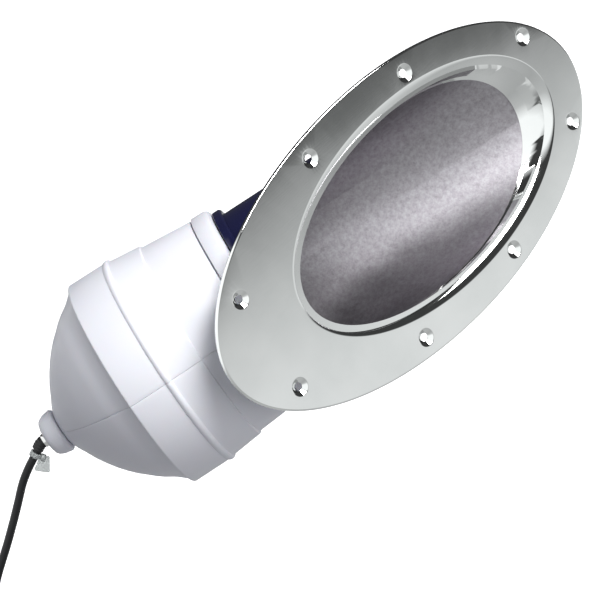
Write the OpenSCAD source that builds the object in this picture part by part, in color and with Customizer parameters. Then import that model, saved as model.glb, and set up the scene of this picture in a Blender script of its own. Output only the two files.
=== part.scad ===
// Underwater pool light: an oval wall flange with an oblique beam tube and, on the dry side of
// the tube, a two-part lamp housing that slides off it.
//
// The back of the flange lies in the plane y = 0, against a vertical wall, and its face looks
// along -y. The origin is the middle of the eight screw holes. The beam tube leaves the flange
// at tube_angle from its normal, level, towards -x and +y.

/* [Wall flange] */
// Angle between the beam tube and the flange's normal, in degrees
tube_angle = 60; // [50:1:64]
// Where the tube's axis meets the back of the flange, along x
axis_x = 15; // [0:1:30]
// Reach of the flange on the housing side
flange_near = 206; // [185:1:260]
// Reach of the flange on the beam side
flange_far = 194; // [180:1:250]
// Half of the flange's height
flange_half = 102; // [95:1:140]
// Thickness of the flange plate
flange_t = 3; // [2:0.5:6]
// Distance of the four end screws from the middle, along x
end_screw_x = 164; // [155:1:175]
// Height of the four end screws above and below the middle
end_screw_z = 40; // [30:1:45]
// Distance of the four side screws from the middle, along x
side_screw_x = 54; // [40:1:70]
// Height of the four side screws above and below the middle
side_screw_z = 83; // [80:1:88]
// Diameter of the through holes for the wall screws
wall_screw_d = 6.6; // [4.5:0.1:8]
// Diameter of the countersinks
countersink_d = 13.6; // [10:0.2:16]

/* [Beam tube] */
// Outside diameter of the plastic sleeve
sleeve_d = 140; // [130:1:146]
// Wall of the plastic sleeve
sleeve_wall = 2; // [1.5:0.5:4]
// Wall of the steel liner inside the sleeve
liner_wall = 1; // [0.8:0.1:2]
// Distance of the sleeve's inner end from the flange, along the axis
sleeve_end = 167; // [160:1:172]
// Radial height of the collar that is bonded on the sleeve
collar_rise = 5; // [3:0.5:6]
// Width of that collar
collar_w = 7; // [4:1:10]

/* [Lamp housing] */
// Distance of the lock ring's front edge from the flange, along the axis
ring_front = 144; // [143:1:148]
// Width of the lock ring
ring_w = 15; // [12:1:18]
// Outside diameter of the lock ring
ring_d = 160; // [158:1:166]
// Outside diameter of the housing at its widest band
band_d = 176; // [172:1:190]
// Distance of the ridge from the flange, along the axis
ridge_at = 230; // [226:1:240]
// Width of the widest band, behind the ridge
band_w = 34; // [26:1:40]
// Wall of the two shells
shell_wall = 3.5; // [2.5:0.5:4.5]
// Turn of the parting seam about the axis, in degrees
seam_roll = 10; // [0:1:40]
// Depth of the dome behind the widest band
dome_depth = 50; // [44:1:60]
// Outside diameter of the gland cap at its root
cap_d = 36; // [34:1:40]
// Travel of the housing when it is pulled off the sleeve
housing_travel = 70; // [20:5:120]

/* [Window] */
// Diameter of the glass window
window_d = 136; // [126:1:140]
// Thickness of the glass window
window_t = 8; // [6:1:10]
// Number of screws in the retaining ring
window_screws = 6; // [4:1:8]

/* [Lamp] */
// Diameter of the sealed-beam lamp
lamp_d = 111; // [90:1:114]
// Depth of the lamp from its front glass to its rear crown
lamp_depth = 46; // [40:1:50]
// Number of pillars that carry the lamp
pillars = 3; // [3:1:4]

/* [Cable] */
// Diameter of the cable
cable_d = 6.5; // [4:0.5:7]
// Downward turn of the boot that the cable leaves through, in degrees
boot_turn = 30; // [20:5:35]

/* [Hidden] */
$fn = 96;

// Gap between pieces that slide or turn on each other
slip = 0.3;
// Gap round a piece that sits still in or on another
fit = 0.05;

// Straight part of each screw hole, under its countersink
countersink_land = flange_t / 6;

// Beam tube
sleeve_r = sleeve_d / 2;
sleeve_in = sleeve_r - sleeve_wall;
liner_in = sleeve_in - liner_wall;
collar_r = sleeve_r + collar_rise;
collar_back = ring_front - 1;
collar_front = collar_back - collar_w;

// Lock ring and the rubber seal inside it
ring_r = ring_d / 2;
ring_back = ring_front + ring_w;
ring_lip = 4.5;
spigot_r = ring_r - 4.5;
seal_front = ring_front + ring_lip;
seal_w = 8;
seal_r = spigot_r;
spigot_front = seal_front + seal_w;

// Shells: outside radii along the axis
body_front = ring_back + 1;
body_front_r = ring_r - 1;
band_r = band_d / 2;
step_at = ridge_at - 28;
step_r = body_front_r + 0.4 * (band_r - body_front_r);
step_rise = 1.6;
ridge_half = 2;
ridge_rise = 1;
band_back = ridge_at + band_w;
dome_front = band_back + 8;
dome_end = dome_front + dome_depth;
shell_end = dome_end + 4;
cap_r = cap_d / 2;
cap_front = shell_end + 0.8;
cap_end = shell_end + 15;
gland_r = 11;
gland_end = shell_end + 7;
cable_r = cable_d / 2;
grommet_r = cable_r + 4.5;
shell_mid_in = body_front_r - shell_wall;
band_in = band_r - shell_wall - 1;
sleeve_bore = sleeve_r + slip;

// Dowels across the seam, in round bosses on the shells' walls
dowel_r = 2;
dowel_len = 8;
dowel_ring_r = band_in - 2.5;
dowel_spots = [step_at + 12, band_back - 6];
boss_r = dowel_r + 2.2;
boss_len = dowel_len + 6;

// Window assembly, seated against a rib inside the shells
rib_front = sleeve_end + 1;
rib_back = rib_front + 3;
rib_in = 66;
frame_r = shell_mid_in - 0.2;
frame_depth = 16;
frame_back = rib_back + frame_depth;
frame_seat = 3;
window_r = window_d / 2;
gasket_t = 1.5;
seat_in = window_r - 5;
window_front = rib_back + frame_seat + gasket_t;
window_back = window_front + window_t;
retainer_t = 2;
retainer_r = frame_r - 0.5;
retainer_in = window_r - 6;
screw_ring_r = (window_r + frame_r) / 2 + 0.3;
frame_screw_r = 1.2;
groove_w = 3;
groove_depth = 2;
groove_at = rib_back + 4;

// Lamp, its cradle and the terminal plate, on pillars that stand on the retaining ring
lamp_r = lamp_d / 2;
pillar_front = frame_back + retainer_t;
pillar_d = 7;
pillar_ring_r = 66;
lamp_front = pillar_front + 6;
glass_t = 7;
lamp_seat = lamp_front + glass_t;
cradle_t = 1.5;
cradle_r = pillar_ring_r + 5;
cradle_in = lamp_r - 4;
cradle_lug = [14, 12];
stud_r = 2;
crown = lamp_front + lamp_depth;
plate_at = crown + 16;
plate_t = 2;
plate_r = cradle_r;
nut_h = 3.2;
nut_r = 4;
terminal_gap = 16;
terminal_h = 9;
lead_x = 20;
spring_t = 0.8;
spring_w = 10;
terminal_r = 2;
terminal_foot_r = 3.4;
wire_at = plate_at + plate_t + 4;
lead_r = 1.3;
plate_windows = 6;
window_ring_r = 46;

// Terminal block on the plate: a screw for each core stands over a hole for the wires
block_x = -20;
block_size = [16, 32, 14];
block_screw_x = block_x + block_size[0] / 2;
block_screw_r = 2;
block_screw_h = 7;
block_hole_r = lead_r + 0.3;

// Boot, held in the gland cap by its collar, and its bend
boot_r = 4.6;
boot_collar_r = 6.8;
boot_front = gland_end + 0.5;
boot_collar_t = 1.5;
bend_at = cap_end + 5;
boot_neck = 7;
boot_tip_r = cable_r + 0.9;

// Cable: hand-set points in the vertical plane of the axis, as [reach, drop] from the boot's
// bend, after the point where the cable leaves the boot
cable_start = [boot_neck * cos(boot_turn), boot_neck * sin(boot_turn)];
cable_route = [
  [15, 8.5], [23, 13.5], [31, 19.5], [39, 27], [48, 35.5], [59, 45.5], [71, 56], [83, 66],
  [95, 77], [105, 90], [112, 104], [116, 119], [118, 135], [119, 151], [119, 161]
];
cable_sides = 8;

// Tied coil that takes up the rest of the cable: turns beside and on each other
coil_mid_r = 36;
coil_layers = 3;
coil_columns = 4;
coil_centre = [81.5, 180];
coil_in = coil_mid_r - coil_layers * cable_d / 2;
coil_out = coil_mid_r + coil_layers * cable_d / 2;
coil_half_w = coil_columns * cable_d / 2;
tail_from = sqrt(pow(coil_out, 2) - pow(coil_out - cable_r, 2)) + 1;
tail_to = 42;
core_len = 20;
core_r = 1.1;
tie_t = 1.2;
tie_w = 4;
tie_at = [9.5, 5.5];
tie_head = [4, 5, 5];
// Corners of the strap's hanging tag, as [reach, drop] from the boot's bend
tie_tag = [[1.5, 12.5], [10, 9.9], [18, 15.5], [9, 24]];

// Places a piece that is drawn along +z onto the beam axis: local x is up, local z leads back
module on_axis() {
  translate([axis_x, 0, 0]) rotate([0, -90, tube_angle - 90]) children();
}

// Same place, turned with the parting seam
module on_seam() {
  on_axis() rotate([0, 0, seam_roll]) children();
}

module ring(r_out, r_in, from, to) {
  difference() {
    translate([0, 0, from]) cylinder(r = r_out, h = to - from);
    translate([0, 0, from - 1]) cylinder(r = r_in, h = to - from + 2);
  }
}

module around(count, radius, start = 0) {
  for (i = [0 : count - 1])
    rotate([0, 0, start + i * 360 / count]) translate([radius, 0, 0]) children();
}

// Outline of the flange: two half ellipses that share one height
function half_ellipse(reach, half, from) =
  [for (i = [0 : 48]) let (a = from + i * 180 / 48) [reach * cos(a), half * sin(a)]];

module flange_outline() {
  polygon(concat(half_ellipse(flange_far, flange_half, -90), half_ellipse(flange_near, flange_half, 90)));
}

wall_screws = [
  for (sx = [-1, 1], sz = [-1, 1]) [sx * end_screw_x, sz * end_screw_z],
  for (sx = [-1, 1], sz = [-1, 1]) [sx * side_screw_x, sz * side_screw_z]
];

// Everything on the flange's side of the wall face is cut away from the tube
module behind_flange(front) {
  intersection() {
    children();
    translate([-600, front, -300]) cube([1200, 600, 600]);
  }
}

module flange() {
  color("silver") difference() {
    rotate([90, 0, 0]) linear_extrude(height = flange_t) flange_outline();
    on_axis() translate([0, 0, -300]) cylinder(r = liner_in, h = 600);
    for (p = wall_screws) translate([p[0], 0, p[1]]) rotate([90, 0, 0]) {
      translate([0, 0, -1]) cylinder(d = wall_screw_d, h = flange_t + 2);
      translate([0, 0, countersink_land])
        cylinder(d1 = wall_screw_d, d2 = countersink_d, h = flange_t - countersink_land + 0.01);
    }
  }
}

module liner_tube() {
  color("lightgray") behind_flange(0) on_axis() ring(sleeve_in, liner_in, -260, sleeve_end);
}

module niche_sleeve() {
  color("midnightblue") behind_flange(0) on_axis() ring(sleeve_r, sleeve_in, -260, sleeve_end);
}

module sleeve_collar() {
  color("midnightblue") on_axis() ring(collar_r, sleeve_r, collar_front, collar_back);
}

module lock_ring() {
  color("white") on_axis() rotate_extrude() polygon([
    [sleeve_bore, ring_front], [ring_r - 4, ring_front], [ring_r - 1.5, ring_front + 1.5],
    [ring_r, ring_front + 4], [ring_r, ring_back], [spigot_r + slip, ring_back],
    [spigot_r + slip, seal_front], [sleeve_bore, seal_front]
  ]);
}

module compression_seal() {
  color("dimgray") on_axis()
    ring(seal_r, sleeve_r + fit, seal_front + slip, spigot_front);
}

// Both shells in one: turned outside, hollow inside, with the spigot under the lock ring
module shell_outside() {
  rotate_extrude() polygon([
    [0, spigot_front], [spigot_r, spigot_front], [spigot_r, body_front],
    [body_front_r, body_front], [step_r, step_at], [step_r + step_rise, step_at + 1],
    [band_r - 1, ridge_at - ridge_half - 2], [band_r + ridge_rise, ridge_at - ridge_half + 1],
    [band_r + ridge_rise, ridge_at + ridge_half - 1], [band_r - 0.3, ridge_at + ridge_half + 1],
    [band_r, band_back - 1.5], [band_r - 1, band_back], [band_r - 2.8, band_back + 0.3],
    [band_r - 8, dome_front - 2], [band_r - 11, dome_front + 1], [band_r - 15, dome_front + 8],
    [band_r - 23, dome_front + 0.36 * dome_depth], [band_r - 33.5, dome_front + 0.58 * dome_depth],
    [band_r - 46, dome_front + 0.78 * dome_depth], [band_r - 63, dome_end - 1],
    [cap_r - 1, shell_end], [gland_r, shell_end], [gland_r, gland_end], [0, gland_end]
  ]);
}

module shell_inside() {
  rotate_extrude() polygon([
    [0, spigot_front - 1], [sleeve_bore, spigot_front - 1], [sleeve_bore, rib_front],
    [rib_in, rib_front], [rib_in, rib_back], [shell_mid_in, rib_back], [shell_mid_in, step_at + 4],
    [band_in, ridge_at], [band_in, band_back - 3], [band_r - 12 - shell_wall, dome_front - 2],
    [band_r - 17 - shell_wall, dome_front + 6],
    [band_r - 25 - shell_wall, dome_front + 0.36 * dome_depth - 2],
    [band_r - 36 - shell_wall, dome_front + 0.58 * dome_depth - 3],
    [band_r - 49.5 - shell_wall, dome_front + 0.78 * dome_depth - 3],
    [grommet_r + 8, dome_end - 6], [grommet_r, dome_end - 4], [grommet_r, gland_end + 1],
    [0, gland_end + 1]
  ]);
}

module dowels(r, len) {
  for (side = [-1, 1], at = dowel_spots)
    translate([-len / 2, side * dowel_ring_r, at]) rotate([0, 90, 0]) cylinder(r = r, h = len);
}

module dowel_bosses() {
  for (side = [-1, 1], at = dowel_spots)
    translate([-boss_len / 2, side * dowel_ring_r, at]) rotate([0, 90, 0]) cylinder(r = boss_r, h = boss_len);
}

module half_shell(up) {
  intersection() {
    difference() {
      union() {
        difference() {
          shell_outside();
          shell_inside();
        }
        intersection() {
          dowel_bosses();
          shell_outside();
        }
      }
      dowels(dowel_r + fit, dowel_len + 1);
    }
    translate([up ? 0 : -200, -200, spigot_front - 20]) cube([200, 400, 400]);
  }
}

module upper_shell() {
  color("whitesmoke") on_seam() half_shell(true);
}

module lower_shell() {
  color("gainsboro") on_seam() half_shell(false);
}

module seam_dowels() {
  color("lightgray") on_seam() dowels(dowel_r, dowel_len);
}

module window_frame() {
  color("darkgray") on_axis() difference() {
    rotate_extrude() polygon([
      [seat_in, rib_back], [frame_r, rib_back], [frame_r, groove_at],
      [frame_r - groove_depth, groove_at], [frame_r - groove_depth, groove_at + groove_w],
      [frame_r, groove_at + groove_w], [frame_r, frame_back], [window_r + 0.2, frame_back],
      [window_r + 0.2, rib_back + frame_seat], [seat_in, rib_back + frame_seat]
    ]);
    around(window_screws, screw_ring_r) translate([0, 0, frame_back - 9])
      cylinder(r = frame_screw_r + fit, h = 10);
  }
}

module frame_oring() {
  color("black") on_axis()
    ring(shell_mid_in - fit, frame_r - groove_depth + fit, groove_at, groove_at + groove_w);
}

module window_gasket() {
  color("black") on_axis() ring(window_r - 0.5, seat_in, rib_back + frame_seat, window_front);
}

module window() {
  color("powderblue") on_axis() translate([0, 0, window_front]) cylinder(r = window_r, h = window_t);
}

module retaining_ring() {
  color("silver") on_axis() difference() {
    union() {
      ring(retainer_r, retainer_in, frame_back, frame_back + retainer_t);
      ring(window_r - 0.5, retainer_in, window_back, frame_back + 0.5);
    }
    around(window_screws, screw_ring_r) translate([0, 0, frame_back - 1]) cylinder(r = frame_screw_r + 0.4, h = 5);
  }
}

module retaining_screws() {
  color("gray") on_axis() around(window_screws, screw_ring_r) {
    translate([0, 0, frame_back - 8]) cylinder(r = frame_screw_r, h = 10);
    difference() {
      translate([0, 0, frame_back + retainer_t]) cylinder(r = 2.6, h = 2);
      translate([0, 0, frame_back + retainer_t + 1]) cylinder(r = 1.3, h = 2, $fn = 6);
    }
  }
}

module pillars() {
  color("silver") on_axis() around(pillars, pillar_ring_r, 30) {
    translate([0, 0, pillar_front]) cylinder(d = pillar_d, h = lamp_seat - pillar_front);
    translate([0, 0, lamp_seat]) cylinder(r = stud_r, h = plate_at + plate_t + nut_h + 1 - lamp_seat);
  }
}

module lamp_cradle() {
  color("silver") on_axis() difference() {
    union() {
      ring(lamp_r + 4, cradle_in, lamp_seat, lamp_seat + cradle_t);
      around(pillars, pillar_ring_r, 30)
        translate([cradle_r - pillar_ring_r - cradle_lug[0], -cradle_lug[1] / 2, lamp_seat])
          cube([cradle_lug[0], cradle_lug[1], cradle_t]);
    }
    around(pillars, pillar_ring_r, 30) translate([0, 0, lamp_seat - 1]) cylinder(r = stud_r + fit, h = 4);
    translate([0, 0, lamp_seat - 1]) cylinder(r = cradle_in, h = 4);
  }
}

module cradle_nuts() {
  color("gray") on_axis() around(pillars, pillar_ring_r, 30) difference() {
    translate([0, 0, lamp_seat + cradle_t]) cylinder(r = nut_r, h = nut_h, $fn = 6);
    translate([0, 0, lamp_seat + cradle_t - 1]) cylinder(r = stud_r + fit, h = nut_h + 2);
  }
}

// Tubes over the studs, between the cradle's nuts and the terminal plate
module spacers() {
  color("silver") on_axis() around(pillars, pillar_ring_r, 30)
    ring(stud_r + 1.5, stud_r + fit, lamp_seat + cradle_t + nut_h, plate_at);
}

module plate_nuts() {
  color("gray") on_axis() around(pillars, pillar_ring_r, 30) difference() {
    translate([0, 0, plate_at + plate_t]) cylinder(r = nut_r, h = nut_h, $fn = 6);
    translate([0, 0, plate_at + plate_t - 1]) cylinder(r = stud_r + fit, h = nut_h + 2);
  }
}

// Three flat springs hook over the rim of the front glass and press the lamp on its cradle
module cradle_springs() {
  rise = 1.4;
  hook = 5;
  color("lightgray") on_axis() around(3, 0, 90) translate([lamp_r, -spring_w / 2, lamp_front - rise]) {
    translate([0.6, 0, 0]) cube([spring_t, spring_w, glass_t + rise]);
    translate([-hook, 0, 0]) cube([hook + 1, spring_w, spring_t]);
    translate([-hook, 0, 0]) cube([spring_t, spring_w, rise]);
  }
}

module lamp_front_glass() {
  color("lightcyan") on_axis() rotate_extrude() polygon([
    [0, lamp_front], [lamp_r - 3, lamp_front], [lamp_r, lamp_front + 2], [lamp_r, lamp_seat],
    [lamp_r - 6, lamp_seat], [lamp_r - 8, lamp_front + 4], [0, lamp_front + 4]
  ]);
}

module lamp_reflector() {
  color("gainsboro") on_axis() rotate_extrude() polygon([
    [lamp_r - 6, lamp_seat], [lamp_r - 4.1, lamp_seat], [lamp_r - 4.5, lamp_seat + 4],
    [lamp_r - 12, lamp_seat + 14], [lamp_r - 24, lamp_seat + 25], [lamp_r - 37, crown - 4],
    [14, crown], [0, crown], [0, crown - 2.5], [12, crown - 2.5], [lamp_r - 38, crown - 7],
    [lamp_r - 25.5, lamp_seat + 22.5], [lamp_r - 14, lamp_seat + 12.5], [lamp_r - 7, lamp_seat + 3]
  ]);
}

module lamp_terminals() {
  color("darkgoldenrod") on_axis() for (side = [-1, 1]) translate([0, side * terminal_gap / 2, crown]) {
    cylinder(r = terminal_foot_r, h = 2);
    translate([0, 0, 2]) cylinder(r = terminal_r, h = terminal_h - 2);
  }
}

module terminal_plate() {
  color("lightgray") on_axis() difference() {
    translate([0, 0, plate_at]) cylinder(r = plate_r, h = plate_t);
    around(pillars, pillar_ring_r, 30) translate([0, 0, plate_at - 1]) cylinder(r = stud_r + fit, h = 4);
    for (side = [-1, 1])
      translate([lead_x, side * terminal_gap / 2, plate_at - 1]) cylinder(r = lead_r + 1.7, h = 4);
    around(plate_windows, window_ring_r) translate([0, 0, plate_at - 1]) cylinder(r = 8, h = 4);
  }
}

module terminal_block() {
  color("ivory") on_axis() difference() {
    translate([block_x, -block_size[1] / 2, plate_at + plate_t]) cube(block_size);
    for (side = [-1, 1]) {
      translate([block_screw_x, side * terminal_gap / 2, wire_at + 1])
        cylinder(r = block_screw_r + fit, h = block_size[2]);
      translate([block_x - 2, side * terminal_gap / 2, wire_at]) rotate([0, 90, 0])
        cylinder(r = block_hole_r, h = block_size[0] + 4);
    }
  }
}

module terminal_screws() {
  color("goldenrod") on_axis() for (side = [-1, 1])
    translate([block_screw_x, side * terminal_gap / 2, wire_at + lead_r])
      cylinder(r = block_screw_r, h = block_screw_h);
}

// A round wire through hand-set points, with balls at its bends
module wire(points, r) {
  for (i = [0 : len(points) - 2]) {
    run = points[i + 1] - points[i];
    translate(points[i]) rotate([0, acos(run[2] / norm(run)), atan2(run[1], run[0])])
      cylinder(r = r, h = norm(run), $fn = 16);
  }
  for (i = [1 : len(points) - 2]) translate(points[i]) sphere(r = r + 0.03, $fn = 16);
}

module lamp_leads() {
  color("firebrick") on_axis() for (side = [-1, 1]) {
    translate([0, side * terminal_gap / 2, 0]) ring(terminal_foot_r, terminal_r + fit, crown + 2, crown + 3.2);
    wire([
      [terminal_foot_r - 0.1, side * terminal_gap / 2, crown + 3.4],
      [lead_x, side * terminal_gap / 2, crown + 3.4], [lead_x, side * terminal_gap / 2, wire_at],
      [block_screw_x + 3, side * terminal_gap / 2, wire_at]
    ], lead_r);
  }
}

module inner_cable() {
  color("black") on_axis() {
    for (side = [-1, 1]) wire([
      [block_screw_x - 3, side * terminal_gap / 2, wire_at], [block_x - 6, side * terminal_gap / 2, wire_at],
      [block_x - 6, side * 4, plate_at + 24], [0, side * 1.3, dome_end - 12]
    ], core_r);
    translate([0, 0, dome_end - 12]) cylinder(r = cable_r, h = cap_end - dome_end + 12);
  }
}

module cable_grommet() {
  color("dimgray") on_axis() ring(grommet_r - fit, cable_r + fit, dome_end - 4, boot_front);
}

module gland_cap() {
  color("white") on_axis() rotate_extrude() polygon([
    [gland_r + slip, cap_front], [cap_r - 0.6, cap_front], [cap_r, cap_front + 1.5],
    [cap_r - 0.6, cap_front + 6], [cap_r - 2, cap_end - 4], [cap_r - 4.2, cap_end - 1],
    [cap_r - 6.5, cap_end], [boot_r + fit, cap_end],
    [boot_r + fit, boot_front + boot_collar_t + slip], [gland_r + slip, boot_front + boot_collar_t + slip]
  ]);
}

// The boot turns the cable down where it leaves the gland cap
module at_bend() {
  on_axis() translate([0, 0, bend_at]) rotate([0, -boot_turn, 0]) children();
}

module cable_boot() {
  color("black") difference() {
    union() {
      on_axis() translate([0, 0, boot_front]) cylinder(r = boot_collar_r, h = boot_collar_t);
      on_axis() translate([0, 0, boot_front]) cylinder(r = boot_r, h = bend_at - boot_front);
      at_bend() sphere(r = boot_r + 0.2);
      at_bend() cylinder(r1 = boot_r - 0.2, r2 = boot_tip_r, h = boot_neck);
    }
    on_axis() translate([0, 0, boot_front - 1]) cylinder(r = cable_r + fit, h = cap_end - boot_front + 1);
  }
}

module boot_ferrule() {
  color("silver") on_axis() ring(boot_r + 0.8, boot_r, cap_end + 0.4, cap_end + 3.4);
}

// Free cable: places a route point, given as [reach, drop], in the vertical plane of the axis
function route_point(p) = [-p[1], 0, bend_at + p[0]];

module at_route(p) {
  on_axis() translate(route_point(p)) children();
}

function unit(v) = v / norm(v);

// One ring of the cable's skin at point i of a route in that plane
function route_ring(route, i) =
  let (
    ahead = route[min(i + 1, len(route) - 1)],
    behind = route[max(i - 1, 0)],
    along = i == 0 ? [cos(boot_turn), sin(boot_turn)] : unit(ahead - behind),
    side = [along[1], -along[0]]
  )
  [for (k = [0 : cable_sides - 1])
    let (a = k * 360 / cable_sides, p = route[i] + side * cable_r * cos(a))
    [-p[1], cable_r * sin(a), bend_at + p[0]]];

module cable() {
  route = concat([cable_start], cable_route);
  last = len(route) - 1;
  skin = [for (i = [0 : last]) each route_ring(route, i)];
  n = cable_sides;
  color("black") on_axis() polyhedron(points = skin, faces = concat(
    [[for (k = [0 : n - 1]) k]],
    [for (i = [0 : last - 1], k = [0 : n - 1])
      [i * n + k, (i + 1) * n + k, (i + 1) * n + (k + 1) % n, i * n + (k + 1) % n]],
    [[for (k = [0 : n - 1]) last * n + n - 1 - k]]
  ));
}

// Stands a piece that is drawn round z upright, so that its own axis lies level
module at_coil() {
  at_route(coil_centre) rotate([-90, 0, 0]) children();
}

module cable_coil() {
  color("black") at_coil() ring(coil_out, coil_in, -coil_half_w, coil_half_w);
}

// The cable's end leaves the outermost turn, downwards
module at_tail() {
  at_route(coil_centre + [coil_out - cable_r, 0]) translate([0, cable_r - coil_half_w, 0])
    rotate([0, -90, 0]) children();
}

module cable_tail() {
  color("black") at_tail() translate([0, 0, tail_from]) cylinder(r = cable_r, h = tail_to - tail_from);
}

module core_ends() {
  color("sienna") at_tail() for (side = [-1, 1])
    translate([0, side * 1.2, tail_to]) cylinder(r = core_r, h = core_len);
}

// Strap round the coil's turns, at its top
module coil_tie() {
  high = coil_out - coil_in + 0.6;
  wide = 2 * coil_half_w + 0.2;
  color("gainsboro") at_route(coil_centre) translate([(coil_in + coil_out) / 2, 0, 0]) difference() {
    cube([high + 2 * tie_t, wide + 2 * tie_t, tie_w], center = true);
    cube([high, wide, tie_w + 1], center = true);
  }
}

// Clear strap round the cable just past the boot, with a clear tag hanging from its head
module cable_tie() {
  color("gainsboro") at_route(tie_at) rotate([0, -boot_turn, 0]) {
    ring(cable_r + 0.3 + tie_t, cable_r + 0.3, -tie_w / 2, tie_w / 2);
    translate([-cable_r - 1 - tie_head[0], -tie_head[1] / 2, -tie_head[2] / 2]) cube(tie_head);
  }
  color("gainsboro") on_axis() translate([0, tie_t / 2, bend_at]) rotate([90, -90, 0])
    linear_extrude(height = tie_t) polygon(tie_tag);
}

flange();
liner_tube();
niche_sleeve();
sleeve_collar();
compression_seal();
lock_ring();
upper_shell();
lower_shell();
seam_dowels();
window_frame();
frame_oring();
window_gasket();
window();
retaining_ring();
retaining_screws();
pillars();
lamp_cradle();
cradle_springs();
cradle_nuts();
spacers();
lamp_reflector();
lamp_front_glass();
lamp_terminals();
terminal_plate();
plate_nuts();
terminal_block();
terminal_screws();
lamp_leads();
inner_cable();
cable_grommet();
gland_cap();
cable_boot();
boot_ferrule();
cable_tie();
cable();
cable_coil();
cable_tail();
coil_tie();
core_ends();
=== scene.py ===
# Underwater pool light: an oval steel wall flange with an oblique beam tube and, behind it, a
# white two-part lamp housing with its cable. The pieces' sizes below are in millimetres, and each
# mesh is brought to metres, in the frame of the CAD model, when it is placed. The camera, the
# textures and the studio are in metres.
import math

import bmesh
import bpy
from mathutils import Matrix, Vector


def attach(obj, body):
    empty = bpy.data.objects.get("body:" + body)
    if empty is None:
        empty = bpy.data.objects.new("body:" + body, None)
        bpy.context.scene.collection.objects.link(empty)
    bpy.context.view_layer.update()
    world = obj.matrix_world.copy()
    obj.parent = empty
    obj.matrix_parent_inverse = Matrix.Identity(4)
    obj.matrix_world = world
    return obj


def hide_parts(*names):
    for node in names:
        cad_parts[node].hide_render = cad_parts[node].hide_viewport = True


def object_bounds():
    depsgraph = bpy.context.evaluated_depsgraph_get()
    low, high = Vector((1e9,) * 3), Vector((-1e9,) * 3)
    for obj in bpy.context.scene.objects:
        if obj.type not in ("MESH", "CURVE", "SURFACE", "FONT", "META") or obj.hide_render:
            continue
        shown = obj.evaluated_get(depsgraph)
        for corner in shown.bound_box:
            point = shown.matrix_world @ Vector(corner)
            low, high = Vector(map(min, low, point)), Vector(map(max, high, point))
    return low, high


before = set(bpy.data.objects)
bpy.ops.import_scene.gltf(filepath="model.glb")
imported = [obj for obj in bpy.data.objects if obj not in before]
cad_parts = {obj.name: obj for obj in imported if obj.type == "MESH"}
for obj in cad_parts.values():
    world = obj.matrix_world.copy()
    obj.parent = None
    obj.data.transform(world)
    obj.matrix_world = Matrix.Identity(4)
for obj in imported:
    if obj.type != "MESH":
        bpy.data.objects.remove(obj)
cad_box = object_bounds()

# ---------------------------------------------------------------------------- camera
# A long lens in front of the flange and above it, on the side that the beam tube leans to. It
# is rolled, so that the standing flange leans across the picture.
EYE = Vector((-0.7803, -1.2707, 0.5094))
EYE_TARGET = EYE + Vector((0.4333, 0.8382, -0.3310))
EYE_ROLL = math.radians(-33.78)
LENS = 126.0

camera_data = bpy.data.cameras.new("camera")
camera_data.lens = LENS
camera_data.sensor_width = 36.0
camera_data.clip_end = 60.0
camera = bpy.data.objects.new("camera", camera_data)
bpy.context.scene.collection.objects.link(camera)
looking = (EYE_TARGET - EYE).to_track_quat("-Z", "Y").to_matrix().to_4x4()
camera.matrix_world = Matrix.Translation(EYE) @ looking @ Matrix.Rotation(EYE_ROLL, 4, "Z")
bpy.context.scene.camera = camera

# ---------------------------------------------------------------------------- cable
# The lamp's lead: round flexible cable in a black rubber jacket. It leaves the boot at the back
# of the housing, hangs from it, and its spare length is wound into a tied coil, with the end
# stripped to two cores for the transformer.
MM = 0.001
TUBE_ANGLE = math.radians(60)
AXIS_X = 15
back = Vector((-math.sin(TUBE_ANGLE), math.cos(TUBE_ANGLE), 0))
across = Vector((math.cos(TUBE_ANGLE), math.sin(TUBE_ANGLE), 0))
up = Vector((0, 0, 1))
# Brings a mesh drawn in millimetres round the beam axis into place: local x is up, local y
# lies across the beam, and local z leads back from the flange
along_beam = Matrix((up, across, back)).transposed().to_4x4()
beam = Matrix.Scale(MM, 4) @ Matrix.Translation((AXIS_X, 0, 0)) @ along_beam

CABLE_D = 6.5
BEND_AT = 346
BOOT_TURN = math.radians(30)
BOOT_NECK = 7
# Reach behind the boot's bend and drop below the beam axis
ROUTE = [
    (15, 8.5), (23, 13.5), (31, 19.5), (39, 27), (48, 35.5), (59, 45.5), (71, 56), (83, 66),
    (95, 77), (105, 90), (112, 104), (116, 119), (118.5, 135),
]
COIL_CENTRE = (81.5, 180)
COIL_MIDDLE = 36
TURN_POINTS = 36
# Each turn's place in the coil, in cable widths: out from the middle of the turns, and sideways.
# The lead comes in on one side of the outermost layer and leaves on the other.
TURNS = [
    (1, 1.5), (1, 0.5), (0, 0.5), (0, 1.5), (-1, 1.5), (-1, 0.5),
    (-1, -0.5), (-1, -1.5), (0, -1.5), (0, -0.5), (1, -0.5), (1, -1.5),
]
TAIL_END = 42
LAST_SIDE = TURNS[-1][1] * CABLE_D


def behind(reach, drop, side=0.0):
    """A point of the cable's plane in the frame of the beam axis, in millimetres."""
    return Vector((-drop, side, BEND_AT + reach))


def in_coil(turn, angle):
    """A point on the winding, as the lead goes down, under and up again."""
    out, side = TURNS[turn]
    next_out, next_side = TURNS[min(turn + 1, len(TURNS) - 1)]
    share = angle / (2 * math.pi)
    share = share * share * (3 - 2 * share)
    radius = COIL_MIDDLE + CABLE_D * (out + (next_out - out) * share)
    side = CABLE_D * (side + (next_side - side) * share)
    return behind(COIL_CENTRE[0] + radius * math.cos(angle), COIL_CENTRE[1] + radius * math.sin(angle), side)


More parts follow.
